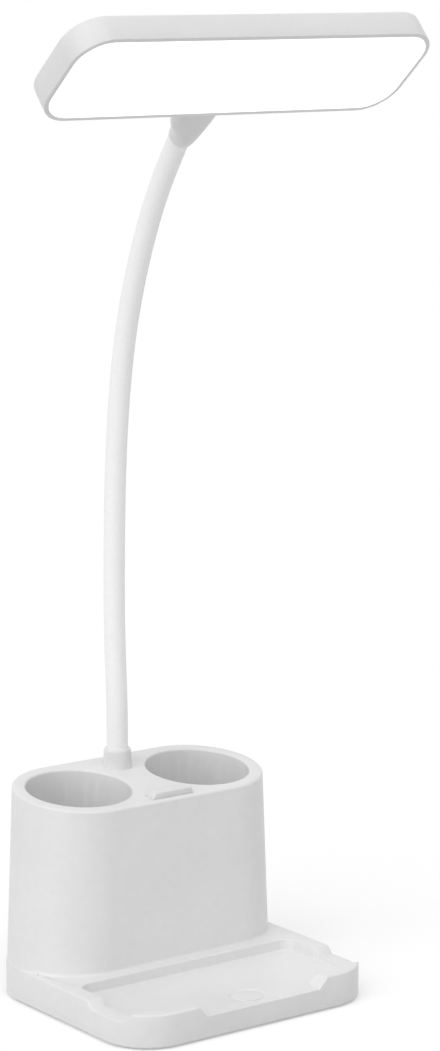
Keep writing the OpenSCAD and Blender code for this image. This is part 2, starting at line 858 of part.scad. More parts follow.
module head_shell() {
    inner_top = head_t - head_wall;
    color("whitesmoke") placed() on_head() difference() {
        union() {
            difference() {
                union() {
                    linear_extrude(head_t) round_rect(head_len, head_w, head_corner_r);
                    boss_body();
                }
                translate([0, 0, -1])
                    linear_extrude(inner_top + 1)
                        round_rect(head_len - 2 * head_wall, head_w - 2 * head_wall,
                                   head_corner_r - head_wall);
                boss_hollow();
            }
            for (x = [-1, 1]) {
                for (y = [-1, 1]) {
                    translate([x * led_post[0], y * led_post[1], led_board_z + led_board_t])
                        cylinder(r = led_post_r, h = inner_top - led_board_z - led_board_t + 1);
                }
            }
        }
        for (x = [-1, 1]) {
            for (y = [-1, 1]) {
                translate([x * led_post[0], y * led_post[1], led_board_z])
                    cylinder(r = screw_hole_r, h = 3.6);
            }
        }
        on_ferrule() translate([0, 0, -2]) cylinder(r = ferrule_r + bore_gap, h = boss_face_t + 3);
    }
}

module diffuser() {
    edge = head_wall + head_gap;
    lip = 3.4;
    color("white") placed() on_head() difference() {
        union() {
            translate([0, 0, -diffuser_proud])
                linear_extrude(diffuser_t)
                    round_rect(head_len - 2 * edge, head_w - 2 * edge, head_corner_r - edge);
            linear_extrude(lip)
                round_rect(head_len - 2 * edge, head_w - 2 * edge, head_corner_r - edge);
        }
        translate([0, 0, diffuser_t - diffuser_proud])
            linear_extrude(10)
                round_rect(head_len - 2 * edge - 2.4, head_w - 2 * edge - 2.4,
                           head_corner_r - edge - 1.2);
    }
}

module led_board() {
    color("ghostwhite") placed() on_head() difference() {
        translate([0, 0, led_board_z]) linear_extrude(led_board_t)
            round_rect(led_board_size[0], led_board_size[1], 2);
        for (x = [-1, 1]) {
            for (y = [-1, 1]) {
                translate([x * led_post[0], y * led_post[1], 0]) cylinder(r = screw_hole_r + 0.1, h = 20);
            }
        }
    }
}

module leds() {
    color("khaki") placed() on_head()
        for (i = [0 : led_columns - 1]) {
            for (y = [-led_row, led_row]) {
                x = (i - (led_columns - 1) / 2) * led_pitch;
                translate([x - led_size[0] / 2, y - led_size[1] / 2, led_board_z - led_size[2]])
                    cube(led_size);
            }
        }
}

module led_board_screws() {
    color("silver") placed() on_head() for (x = [-1, 1]) {
        for (y = [-1, 1]) {
            translate([x * led_post[0], y * led_post[1], led_board_z]) mirror([0, 0, 1]) {
                cylinder(r = 1.9, h = 1.2);
                translate([0, 0, -led_board_t - 2.4]) cylinder(r = screw_r, h = led_board_t + 2.4 + eps);
            }
        }
    }
}

module neck_ferrule() {
    color("silver") placed() on_head() on_ferrule() translate([0, 0, ferrule_start]) difference() {
        cylinder(r = ferrule_r, h = ferrule_len);
        translate([0, 0, -1]) cylinder(r = core_r + bore_gap, h = ferrule_len + 2);
    }
}

module ferrule_nut() {
    color("silver") placed() on_head() on_ferrule() translate([0, 0, boss_face_t]) difference() {
        cylinder(r = ferrule_nut_r, h = ferrule_nut_t);
        translate([0, 0, -1]) cylinder(r = ferrule_r + bore_gap / 2, h = ferrule_nut_t + 2);
    }
}

// ---------------------------------------------------------------- nodes

base_shell();
base_cover();
rubber_feet();
cover_screws();
counterweight();
battery_cell();
battery_strap();
strap_screws();
control_board();
board_screws();
charge_socket();
power_key();
switch_plunger();
switch_body();
switch_board();
switch_screws();
neck_collar();
collar_washer();
collar_nut();
neck_wire();
head_shell();
diffuser();
led_board();
leds();
led_board_screws();
neck_ferrule();
ferrule_nut();
for (i = [0 : links]) {
    neck_core(i);
    neck_sleeve(i);
}
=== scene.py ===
"""A rechargeable desk lamp: a flat lit head on a sleeved bending neck, on a base with pen cups and a
phone tray."""

from math import atan2, cos, degrees, hypot, pi, radians, sin, tan

import bmesh
import bpy
from mathutils import Matrix, Vector
from mathutils.geometry import interpolate_bezier


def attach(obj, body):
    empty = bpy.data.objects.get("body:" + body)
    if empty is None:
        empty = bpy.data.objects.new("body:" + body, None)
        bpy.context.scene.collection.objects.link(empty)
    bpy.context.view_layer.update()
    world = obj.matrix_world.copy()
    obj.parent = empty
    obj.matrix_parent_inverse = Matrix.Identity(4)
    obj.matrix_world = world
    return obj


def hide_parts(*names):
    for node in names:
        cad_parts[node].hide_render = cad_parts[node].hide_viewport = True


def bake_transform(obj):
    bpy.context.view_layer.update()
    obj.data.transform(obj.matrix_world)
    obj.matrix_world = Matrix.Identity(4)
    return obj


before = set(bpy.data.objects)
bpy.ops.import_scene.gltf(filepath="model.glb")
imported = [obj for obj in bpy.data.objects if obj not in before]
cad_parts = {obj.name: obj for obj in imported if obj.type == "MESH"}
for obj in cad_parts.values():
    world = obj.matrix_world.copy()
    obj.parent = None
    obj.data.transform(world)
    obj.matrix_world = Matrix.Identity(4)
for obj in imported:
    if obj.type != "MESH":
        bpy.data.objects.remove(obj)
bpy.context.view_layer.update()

MM = 0.001

# ---------------------------------------------------------------- the lamp's sizes, in millimetres

BASE_W = 130.0
TRAY_REACH = 89.4          # from the line through the cup centres to the tray block's front
TRAY_H = 15.2
TRAY_CORNER = 22.0
TRAY_RIM = 8.0
TRAY_FLOOR = 10.3
NOTCH_FLOOR = 12.0
NOTCH_FRONT = -77.5        # foot of a side notch's front slope, from the cup line
NOTCH_SLOPE = 2.75         # how far that slope runs while it rises to the rim
TRAY_BACK = -34.0          # just behind the tray's back wall
NOTCHES_BACK = -50.0       # just behind the side notches
FRONT_RIM = -67.0          # just behind the low block's front corners
BODY_R = 29.6
FOOT_STEP = 0.4
BODY_X = BASE_W / 2 - BODY_R - FOOT_STEP   # centre of each round end of the cup block
DECK_H = 91.0
DECK_SLOPE = radians(6.4)
FOOT_H = 0.8
CUP_X = 32.0
CUP_R = 23.3
KEY_AT = -23.5             # middle of the power key, from the cup line
KEY_W, KEY_D, KEY_H = 21.4, 6.0, 2.7
NECK_BACK = 16.5
COLLAR_R = 6.5
COLLAR_H = 8.5
COLLAR_FOOT = 81.0         # lower end of the collar's stem, under the deck
COLLAR_STEM_R = 4.9
BORE_GAP = 0.1
SLEEVE_R = 4.75
SLEEVE_LOW = 93.85
CORE_LOW = 79.0
CORE_R = 3.3
WIRE_WAY_R = 1.7
WIRE_R = 1.0
FIRST_BEND = 122.5
LINK = 26.0
LINKS = 10
LEAN = [0, -3.5, -0.5, 1, 2.3, 5, 8.5, 14.3, 20.3, 26, 34]
HEAD_L, HEAD_W, HEAD_T = 180.0, 51.0, 12.5
HEAD_CORNER = 15.5
HEAD_WALL = 2.0
HEAD_SLOPE = radians(40.5)
HEAD_NECK = Vector((0, HEAD_W / 2 + 27.1, 8.3))
BOSS_R = 5.0
BOSS_START = 1.4           # the boss's rim, from the neck's end
# The boss from its neck end: distance towards the head, half width, low and high
BOSS = [(2.6, 5.5, 2.8, 13.8), (6.0, 6.2, 2.35, 14.2), (13.0, 10.0, 4.1, 14.5), (28.1, 11.5, 6.4, 12.3)]
BOSS_STEPS = 16
BOSS_WALL = 1.0
BOSS_FACE = 3.2
FERRULE_R = 3.9
FERRULE_END = 9.4
# The wire's way from the control board up into the neck's core, and its height on the lamp board
WIRE_FROM_BOARD = [(-8, 20, 9.6), (-8, 20, 17.6), (-6, 18, 30), (-2, 17, 42), (0, NECK_BACK, 52),
                   (0, NECK_BACK, 66), (0, NECK_BACK, CORE_LOW)]
WIRE_ON_BOARD = 9.25
LED_POST = (68.0, 11.0)
LED_POST_R = 2.6
SCREW_HOLE_R = 1.1
LED_BOARD_TOP = 8.2
DIFFUSER_GAP = 0.15
DIFFUSER_PROUD = 0.2
DIFFUSER_LIP_H = 3.4
DIFFUSER_LIP = 1.2
DIFFUSER_SUNK = 1.6        # how far its inside lies under its lip

# How round the edges are
FOOT_EDGE = 1.5
DECK_EDGE = 1.0
CUP_EDGE = 0.9
OUTER_EDGE = 0.8
UNDER_EDGE = 0.8
RIM_EDGE = 0.6
TRAY_EDGE = 0.5
NOTCH_EDGE = 0.4
KEY_WAY_EDGE = 0.3
BACK_EDGE = 0.12
SLIGHT_EDGE = 0.1
KEY_EDGE = 0.5
HEAD_TOP_EDGE = 1.5
HEAD_LOW_EDGE = 0.4
DIFFUSER_EDGE = 0.3

# How near two measures are that count as the same: of a level, and beside an outline
SAME_LEVEL = 0.03
BESIDE = 0.1

# Where the neck's bends are: y and z of each, from the cup line
bends = {1: (NECK_BACK, FIRST_BEND)}
for i in range(1, LINKS + 1):
    lean = radians(LEAN[i])
    bends[i + 1] = (bends[i][0] - LINK * sin(lean), bends[i][1] + LINK * cos(lean))

neck_end = bends[LINKS + 1]
head_y = neck_end[0] - HEAD_NECK.y * cos(HEAD_SLOPE) - HEAD_NECK.z * sin(HEAD_SLOPE)
head_z = neck_end[1] + HEAD_NECK.y * sin(HEAD_SLOPE) - HEAD_NECK.z * cos(HEAD_SLOPE)
SHIFT = (HEAD_W / 2 * cos(HEAD_SLOPE) - head_y - BODY_R - FOOT_STEP) / 2

# From the cup line's frame in millimetres to the lamp's own frame in metres, and from the head's frame
# to both
TO_LAMP = Matrix.Diagonal((MM, MM, MM, 1)) @ Matrix.Translation((0, SHIFT, 0))
FROM_HEAD = Matrix.Translation((0, head_y, head_z)) @ Matrix.Rotation(-HEAD_SLOPE, 4, 'X')
TO_HEAD = TO_LAMP @ FROM_HEAD


def deck_z(y):
    """Height of the deck's plane at a distance behind the cup line."""
    return DECK_H + y * tan(DECK_SLOPE)


def on_deck(y):
    """A place on the deck's plane, with z square to it."""
    return Matrix.Translation((0, y, deck_z(y))) @ Matrix.Rotation(DECK_SLOPE, 4, 'X')


# ---------------------------------------------------------------- materials

def colour(hex_code):
    """sRGB hex to the linear values that the shader wants."""
    parts = [int(hex_code[i:i + 2], 16) / 255 for i in (1, 3, 5)]
    return tuple(p / 12.92 if p <= 0.04045 else ((p + 0.055) / 1.055) ** 2.4 for p in parts) + (1.0,)


def put(tree, kind, inputs=(), **settings):
    """Adds one node, sets it, and sets or links its inputs."""
    made = tree.nodes.new(kind)
    for name, value in settings.items():
        setattr(made, name, value)
    for name, value in dict(inputs).items():
        if isinstance(value, bpy.types.NodeSocket):
            tree.links.new(value, made.inputs[name])
        else:
            made.inputs[name].default_value = value
    return made


def new_finish(name):
    finish = bpy.data.materials.new(name)
    finish.use_nodes = True
    tree = finish.node_tree
    tree.nodes.clear()
    return finish, tree


def per_mm(size):
    """Noise scale that gives a grain of that many millimetres."""
    return 1.0 / (size * MM)


def ramp_between(tree, factor, low, high, a=0.0, b=1.0):
    """A colour ramp from low to high between two positions of a factor."""
    ramp = put(tree, 'ShaderNodeValToRGB', {'Fac': factor})
    ramp.color_ramp.elements[0].position = a
    ramp.color_ramp.elements[0].color = colour(low)
    ramp.color_ramp.elements[1].position = b
    ramp.color_ramp.elements[1].color = colour(high)
    return ramp.outputs['Color']


def grey_range(tree, factor, low, high):
    """A factor spread between two values."""
    return put(tree, 'ShaderNodeMapRange', {'Value': factor, 'To Min': low, 'To Max': high}).outputs['Result']


def relief_of(tree, height, strength, distance):
    """The normal of a skin with that relief, its depth given in millimetres."""
    return put(tree, 'ShaderNodeBump', {'Height': height, 'Strength': strength,
                                        'Distance': distance * MM}).outputs['Normal']


def surface(tree, inputs):
    """Ends a material with one shader of those inputs."""
    shader = put(tree, 'ShaderNodeBsdfPrincipled', inputs)
    put(tree, 'ShaderNodeOutputMaterial', {'Surface': shader.outputs['BSDF']})


def object_place(tree):
    return put(tree, 'ShaderNodeTexCoord').outputs['Object']


def seen_directly(tree):
    """1 for a ray from the camera, straight or by way of gloss or glass, and 0 for one that lights the
    lamp."""
    path = put(tree, 'ShaderNodeLightPath')
    seen = path.outputs['Is Camera Ray']
    for way in ('Is Glossy Ray', 'Is Transmission Ray'):
        seen = put(tree, 'ShaderNodeMath', {0: seen, 1: path.outputs[way]},
                   operation='MAXIMUM').outputs['Value']
    return seen


def moulded_abs(name, dark, light, rough_low, rough_high):
    """Injection-moulded ABS from a spark-eroded tool: a satin skin whose fine, even pits
    break up the highlight, a faint cloudiness where the flow cooled, and no metal at all.
    The real pits are 0.1 mm; they are drawn 0.8 mm wide so that they show at this size."""
    finish, tree = new_finish(name)
    place = object_place(tree)
    pits = put(tree, 'ShaderNodeTexNoise', {'Vector': place, 'Scale': per_mm(0.8), 'Detail': 3.0,
                                            'Roughness': 0.6})
    clouds = put(tree, 'ShaderNodeTexNoise', {'Vector': place, 'Scale': per_mm(35), 'Detail': 2.0})
    dust = put(tree, 'ShaderNodeTexNoise', {'Vector': place, 'Scale': per_mm(4), 'Detail': 5.0,
                                            'Roughness': 0.7})
    tone = put(tree, 'ShaderNodeMath', {0: clouds.outputs['Fac'], 1: dust.outputs['Fac']},
               operation='ADD').outputs['Value']
    half = put(tree, 'ShaderNodeMath', {0: tone, 1: 0.5}, operation='MULTIPLY').outputs['Value']
    surface(tree, {'Base Color': ramp_between(tree, half, dark, light, 0.3, 0.7),
                   'Roughness': grey_range(tree, dust.outputs['Fac'], rough_low, rough_high),
                   'Normal': relief_of(tree, pits.outputs['Fac'], 0.35, 0.01), 'IOR': 1.53})
    return finish


def moulded_silicone():
    """Extruded silicone sleeve: soft, a little waxy, with fine lint that it picks up, and broad
    highlights. Faint draw marks run along it, 0.6 mm apart."""
    finish, tree = new_finish('extruded_silicone')
    place = object_place(tree)
    along = put(tree, 'ShaderNodeMapping', {'Vector': place, 'Scale': (1.0, 1.0, 0.04)}).outputs['Vector']
    draw = put(tree, 'ShaderNodeTexNoise', {'Vector': along, 'Scale': per_mm(0.6), 'Detail': 2.0})
    lint = put(tree, 'ShaderNodeTexNoise', {'Vector': place, 'Scale': per_mm(1.5), 'Detail': 6.0,
                                            'Roughness': 0.75})
    surface(tree, {'Base Color': ramp_between(tree, lint.outputs['Fac'], '#F8F8F8', '#FFFFFF', 0.3, 0.7),
                   'Roughness': grey_range(tree, lint.outputs['Fac'], 0.46, 0.6),
                   'Normal': relief_of(tree, draw.outputs['Fac'], 0.25, 0.02), 'IOR': 1.41,
                   'Sheen Weight': 0.35, 'Sheen Roughness': 0.5})
    return finish


def opal_acrylic():
    """Opal acrylic, lit from behind: even white with a faint haze, under a smooth moulded gloss."""
    finish, tree = new_finish('opal_acrylic_lit')
    place = object_place(tree)
    haze = put(tree, 'ShaderNodeTexNoise', {'Vector': place, 'Scale': per_mm(12), 'Detail': 2.0})
    glow = ramp_between(tree, haze.outputs['Fac'], '#FCFDFF', '#FFFFFF', 0.3, 0.7)
    surface(tree, {'Base Color': colour('#F4F4F4'), 'Roughness': 0.35, 'IOR': 1.49,
                   'Emission Color': glow, 'Emission Strength': 0.8,
                   'Normal': relief_of(tree, haze.outputs['Fac'], 0.1, 0.02)})
    return finish


def plated_steel(name, tint, rough_low, rough_high, grit=0.3):
    """Zinc-plated or rolled steel: a dull metal with fine directionless scratches."""
    finish, tree = new_finish(name)
    place = object_place(tree)
    scratch = put(tree, 'ShaderNodeTexNoise', {'Vector': place, 'Scale': per_mm(grit), 'Detail': 6.0,
                                               'Roughness': 0.8})
    marks = scratch.outputs['Fac']
    surface(tree, {'Base Color': ramp_between(tree, marks, tint[0], tint[1], 0.3, 0.7),
                   'Metallic': 1.0, 'Roughness': grey_range(tree, marks, rough_low, rough_high),
                   'Normal': relief_of(tree, marks, 0.3, 0.01)})
    return finish


def wound_steel():
    """A wound gooseneck: bright steel wire in turns. The real ones lie 1.2 mm apart; they are drawn 7.5 mm
    apart, as broad bands, since the sleeve hides them. Each band's colour darkens into the groove between two
    turns: painted shade."""
    finish, tree = new_finish('wound_spring_steel')
    place = object_place(tree)
    turns = put(tree, 'ShaderNodeTexWave', {'Vector': place, 'Scale': per_mm(24), 'Distortion': 0.0},
                wave_type='BANDS', bands_direction='Z', wave_profile='SIN')
    # Painted shade: the colour runs dark in the grooves between the turns and light on their crowns
    surface(tree, {'Base Color': ramp_between(tree, turns.outputs['Fac'], '#6E6F71', '#B4B5B8'),
                   'Metallic': 1.0, 'Roughness': 0.35,
                   'Normal': relief_of(tree, turns.outputs['Fac'], 0.8, 0.3)})
    return finish


def plain_plastic(name, dark, light, rough, grain=0.5, ior=1.5):
    """Small moulded or coated plastic pieces inside the lamp: even colour, faint orange peel."""
    finish, tree = new_finish(name)
    place = object_place(tree)
    peel = put(tree, 'ShaderNodeTexNoise', {'Vector': place, 'Scale': per_mm(grain), 'Detail': 4.0})
    surface(tree, {'Base Color': ramp_between(tree, peel.outputs['Fac'], dark, light, 0.3, 0.7),
                   'Roughness': rough, 'IOR': ior,
                   'Normal': relief_of(tree, peel.outputs['Fac'], 0.25, 0.02)})
    return finish


def circuit_board(name, mask, trace):
    """Glass-fibre board under solder mask: copper tracks, 1.1 mm apart, show through as a lighter tone."""
    finish, tree = new_finish(name)
    place = object_place(tree)
    tracks = put(tree, 'ShaderNodeTexBrick', {
        'Vector': place, 'Scale': per_mm(1.6), 'Color1': colour(mask), 'Color2': colour(mask),
        'Mortar': colour(trace), 'Mortar Size': 0.06, 'Brick Width': 2.3, 'Row Height': 0.7})
    surface(tree, {'Base Color': tracks.outputs['Color'], 'Roughness': 0.32, 'IOR': 1.55,
                   'Normal': relief_of(tree, tracks.outputs['Fac'], 0.3, 0.03)})
    return finish


FINISH = {
    'base': moulded_abs('moulded_abs_base', '#E1E1E1', '#E8E8E8', 0.34, 0.42),
    'head': moulded_abs('moulded_abs_head', '#DFDFDF', '#E6E6E6', 0.34, 0.44),
    'cover': moulded_abs('moulded_abs_cover', '#DBDBDB', '#E2E2E2', 0.5, 0.62),
    'key': moulded_abs('moulded_abs_key', '#DDDDDD', '#E4E4E4', 0.40, 0.50),
    'silicone': moulded_silicone(),
    'opal': opal_acrylic(),
    'zinc': plated_steel('zinc_plated_steel', ('#A9ABAE', '#C9CBCD'), 0.28, 0.45),
    'plate': plated_steel('rolled_steel_plate', ('#6B6D70', '#8A8C90'), 0.4, 0.6, 0.8),
    'socket': plated_steel('nickel_plated_steel', ('#B5B4B0', '#D2D1CD'), 0.2, 0.35),
    'wound': wound_steel(),
    'cell': plain_plastic('cell_shrink_wrap', '#1F5E96', '#2A6DA8', 0.28),
    'black': plain_plastic('moulded_nylon_black', '#161617', '#202021', 0.5),
    'wire': plain_plastic('wire_insulation', '#1D1D1E', '#28282A', 0.42),
    'pads': plain_plastic('silicone_rubber_pads', '#BDBDBE', '#C9C9CA', 0.72, 0.7, 1.42),
    'green': circuit_board('solder_mask_green', '#0E5A2E', '#1B7A44'),
    'white': circuit_board('solder_mask_white', '#EDEDE9', '#E0E0DA'),
    'phosphor': plain_plastic('led_phosphor', '#E7CF66', '#F2DE83', 0.4),
}


# ---------------------------------------------------------------- pieces

FOLD = radians(25)         # an edge that turns by more than this is a fold
FLAT = radians(0.3)        # and faces that turn by less than this are one


def new_object(name, bm):
    """An object of the scene, made from a bmesh."""
    mesh = bpy.data.meshes.new(name)
    bm.to_mesh(mesh)
    bm.free()
    made = bpy.data.objects.new(name, mesh)
    bpy.context.scene.collection.objects.link(made)
    return made


def discard(made):
    mesh = made.data
    bpy.data.objects.remove(made)
    bpy.data.meshes.remove(mesh)


def finish_piece(bm, name, body, finish, node, sharp=32, matrix=None):
    """Makes a piece from a bmesh: shaded smooth but for edges sharper than so many degrees, riding on a
    body if one is given, in place of its CAD node."""
    if matrix is not None:
        bmesh.ops.transform(bm, matrix=matrix, verts=bm.verts)
    for face in bm.faces:
        face.smooth = True
    for edge in bm.edges:
        edge.smooth = edge.is_manifold and edge.calc_face_angle(0) < radians(sharp)
    made = new_object(name, bm)
    made.data.materials.append(FINISH[finish])
    if body:
        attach(made, body)
    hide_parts(node)
    return made


def join_flat(bm):
    """Makes faces whole that lie in one plane."""
    bmesh.ops.dissolve_limit(bm, angle_limit=FLAT, verts=bm.verts, edges=bm.edges,
                             use_dissolve_boundaries=False)


def from_node(node):
    """The mesh of a CAD node with its loose triangles joined and its flat faces made whole."""
    bm = bmesh.new()
    bm.from_mesh(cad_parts[node].data)
    bmesh.ops.remove_doubles(bm, verts=bm.verts, dist=0.002 * MM)
    join_flat(bm)
    return bm


def with_modifier(bm, kind, **settings):
    """A bmesh passed through one modifier."""
    work = new_object('work', bm)
    modifier = work.modifiers.new('work', kind)
    for name, value in settings.items():
        setattr(modifier, name, value)
    evaluated = work.evaluated_get(bpy.context.evaluated_depsgraph_get())
    out = bmesh.new()
    out.from_mesh(evaluated.to_mesh())
    evaluated.to_mesh_clear()
    discard(work)
    return out


def round_edges(bm, widest, radius_of):
    """Rounds each fold by the radius that radius_of gives for it, in millimetres."""
    weight = bm.edges.layers.float.new('bevel_weight_edge')
    for edge in bm.edges:
        if edge.is_manifold and edge.calc_face_angle(0) > FOLD:
            edge[weight] = min(1.0, radius_of(edge) / widest)
    return with_modifier(bm, 'BEVEL', width=widest * MM, segments=4, limit_method='WEIGHT',
                         use_clamp_overlap=False, miter_outer='MITER_SHARP', profile=0.5)


def combined(bm, other, operation):
    """Two closed solids joined, or the second cut out of the first."""
    tool = new_object('tool', other)
    out = with_modifier(bm, 'BOOLEAN', operation=operation, solver='EXACT', object=tool)
    discard(tool)
    return out


def lies_at(part, z):
    """Whether an edge or a face lies at that height."""
    return all(abs(vert.co.z - z) < 1e-4 for vert in part.verts)


def soften(bm, chosen, width, segments):
    """Rounds the edges that chosen picks, by a width in the mesh's own units."""
    bmesh.ops.bevel(bm, geom=[e for e in bm.edges if chosen(e)], offset=width, offset_type='OFFSET',
                    affect='EDGES', segments=segments, profile=0.5, material=-1)


def rounded_plate(length, width, low, high, corner):
    """A plate with round corners, flat top and bottom."""
    bm = bmesh.new()
    bmesh.ops.create_cube(bm, size=1.0)
    bmesh.ops.scale(bm, vec=(length, width, high - low), verts=bm.verts)
    bmesh.ops.translate(bm, vec=(0, 0, (high + low) / 2), verts=bm.verts)
    soften(bm, lambda e: not lies_at(e, low) and not lies_at(e, high), corner, 16)
    return bm


def drawn_out(bm, sides, places):
    """Extrudes a circle through a row of places; gives back the edges of its first and last rings."""
    made = bmesh.ops.create_circle(bm, cap_ends=False, segments=sides, radius=1.0, matrix=places[0])
    first = last = list({edge for vert in made['verts'] for edge in vert.link_edges})
    for before, after in zip(places, places[1:]):
        grown = bmesh.ops.extrude_edge_only(bm, edges=last)['geom']
        verts = {part for part in grown if isinstance(part, bmesh.types.BMVert)}
        bmesh.ops.transform(bm, matrix=after @ before.inverted(), verts=list(verts))
        last = [part for part in grown
                if isinstance(part, bmesh.types.BMEdge) and verts.issuperset(part.verts)]
    return first, last


def lofted(places, sides=48):
    """A solid drawn through a row of places, each a matrix that takes the unit circle there."""
    bm = bmesh.new()
    for loop in drawn_out(bm, sides, places):
        bmesh.ops.holes_fill(bm, edges=loop, sides=sides)
    bmesh.ops.recalc_face_normals(bm, faces=bm.faces)
    return bm


def drawn_tube(places, radius, bore=0.0, sides=32):
    """A tube or, with no bore, a rod, drawn through a row of places with z along it, closed at its ends."""
    outside, inside = ([place @ Matrix.Diagonal((r, r, 1, 1)) for place in places] for r in (radius, bore))
    if not bore:
        return lofted(outside, sides)
    bm = bmesh.new()
    drawn_out(bm, sides, outside + inside[::-1] + outside[:1])
    bmesh.ops.remove_doubles(bm, verts=bm.verts, dist=0.02)
    bmesh.ops.recalc_face_normals(bm, faces=bm.faces)
    return bm


def placed_rod(place, radius, low, high, sides=32, bore=0.0):
    """A rod or tube along the z of a place, from low to high."""
    return drawn_tube([place @ Matrix.Translation((0, 0, z)) for z in (low, high)], radius, bore, sides)


# ---------------------------------------------------------------- the base

OPEN_LEDGE = 20.0          # the low block's top where no foot stands beside the outline: simply wide
ON_DECK = 0.05             # how near the deck, a cup's rim or the block's foot an edge lies to belong to it
ON_RIM = 0.5
ON_FOOT = 0.18
# Where the top edge at each side is split, so that its rounding can fade beside the foot
SIDE_SPLITS = (-23, -17, -12, -9, -7, -5, -3.5, -2.2, -1.2)


def in_base(point):
    """A lamp-frame point in millimetres from the cup line."""
    return point.x / MM, point.y / MM - SHIFT, point.z / MM


def ledge(x, y):
    """Width of the low block's top between the cup block's foot and the outline beside it."""
    if y >= 0:
        return FOOT_STEP
    if y < -BODY_R or x < BODY_X:
        return OPEN_LEDGE
    return BODY_R + FOOT_STEP - (BODY_R ** 2 - y ** 2) ** 0.5


def outer_side(x, y):
    """Whether a point is on the low block's outer side."""
    past = x - (BASE_W / 2 - TRAY_CORNER), -TRAY_REACH + TRAY_CORNER - y
    if min(past) > 0:
        return hypot(*past) > TRAY_CORNER - BESIDE
    return x > BASE_W / 2 - BESIDE or y < -TRAY_REACH + BESIDE


def base_edge_radius(edge):
    """How round the base moulding's edges are, by where they lie."""
    ends = [in_base(v.co) for v in edge.verts]
    (xa, ya, za), (xb, yb, zb) = ends
    x, y, z = abs(xa + xb) / 2, (ya + yb) / 2, (za + zb) / 2
    outer = outer_side(x, y)

    if all(abs(end[2] - deck_z(end[1])) < ON_DECK for end in ends):
        if abs(hypot(x - CUP_X, y) - CUP_R) < ON_RIM:
            return CUP_EDGE
        if hypot(x, y - NECK_BACK) < COLLAR_R:
            return 0.0
        if x < KEY_W / 2 + 1 and abs(y - KEY_AT) < KEY_D / 2 + 1:
            return KEY_WAY_EDGE
        return DECK_EDGE

    if abs(za - zb) >= SAME_LEVEL:
        notched = TRAY_FLOOR - BESIDE < z < TRAY_H + BESIDE and y < NOTCHES_BACK
        return NOTCH_EDGE if notched else 0.0

    if abs(z - TRAY_H) < SAME_LEVEL:
        if y < FRONT_RIM and not outer:
            return SLIGHT_EDGE
        if abs(hypot(max(x - BODY_X, 0), y) - BODY_R) < ON_FOOT:
            fading = min(FOOT_EDGE, (ledge(x, y) - 0.3) * 0.6)
            return max(SLIGHT_EDGE, fading) if y < 0 else SLIGHT_EDGE
        if y < -BODY_R - FOOT_STEP and not outer:
            return RIM_EDGE
        return BACK_EDGE if y >= 0 else min(OUTER_EDGE, SLIGHT_EDGE + (ledge(x, y) - FOOT_STEP) * 0.5)
    if abs(z - TRAY_FLOOR) < SAME_LEVEL and x < BASE_W / 2 - TRAY_RIM + BESIDE and (
            -TRAY_REACH + TRAY_RIM - BESIDE < y < TRAY_BACK):
        return TRAY_EDGE
    if abs(z - NOTCH_FLOOR) < SAME_LEVEL and outer:
        return NOTCH_EDGE
    if abs(z - FOOT_H) < SAME_LEVEL and outer and y < -2:
        return UNDER_EDGE
    return 0.0


def split_side_edge(bm, side, at):
    """Splits the low block's straight top edge at one side, at one distance from the cup line."""
    for edge in list(bm.edges):
        (xa, ya, za), (xb, yb, zb) = (in_base(v.co) for v in edge.verts)
        if abs(za - TRAY_H) + abs(zb - TRAY_H) < 0.02 and abs(xa - side) + abs(xb - side) < 0.02 and (
                (ya - at) * (yb - at) < 0):
            bmesh.utils.edge_split(edge, edge.verts[0], (at - ya) / (yb - ya))


def notch_end(side):
    """What a side notch's front slope takes off the rim where the tray's corner begins."""
    rise = 4.0
    inner, outer, back = 45.0, 55.5, -70.0
    bm = bmesh.new()
    bmesh.ops.create_cube(bm, size=1.0)
    for vert in bm.verts:
        up = rise if vert.co.z > 0 else 0.0
        front = NOTCH_FRONT - up / (TRAY_H - NOTCH_FLOOR) * NOTCH_SLOPE
        vert.co = (side * (inner if vert.co.x < 0 else outer), back if vert.co.y > 0 else front,
                   NOTCH_FLOOR + up)
    if side < 0:
        bmesh.ops.reverse_faces(bm, faces=bm.faces)
    bmesh.ops.transform(bm, matrix=TO_LAMP, verts=bm.verts)
    return bm


def base_moulding():
    """Cup block, deck, cups and tray block in one moulding, with its edges rounded as a tool rounds
    them."""
    bm = from_node('base_shell')
    for side in (-1, 1):
        bm = combined(bm, notch_end(side), 'DIFFERENCE')
    join_flat(bm)
    for side in (-BASE_W / 2, BASE_W / 2):
        for at in SIDE_SPLITS:
            split_side_edge(bm, side, at)
    bm = round_edges(bm, FOOT_EDGE, base_edge_radius)
    finish_piece(bm, 'base_moulding', 'base', 'base', 'base_shell')


def power_key():
    """The bar key, with its top edges rounded for the finger."""
    to_deck = (TO_LAMP @ on_deck(KEY_AT)).inverted()

    def radius(edge):
        high = max((to_deck @ v.co).z for v in edge.verts)
        return KEY_EDGE if high > KEY_H - BESIDE else 0.0

    bm = round_edges(from_node('power_key'), KEY_EDGE, radius)
    finish_piece(bm, 'rounded_key', 'key', 'key', 'power_key')


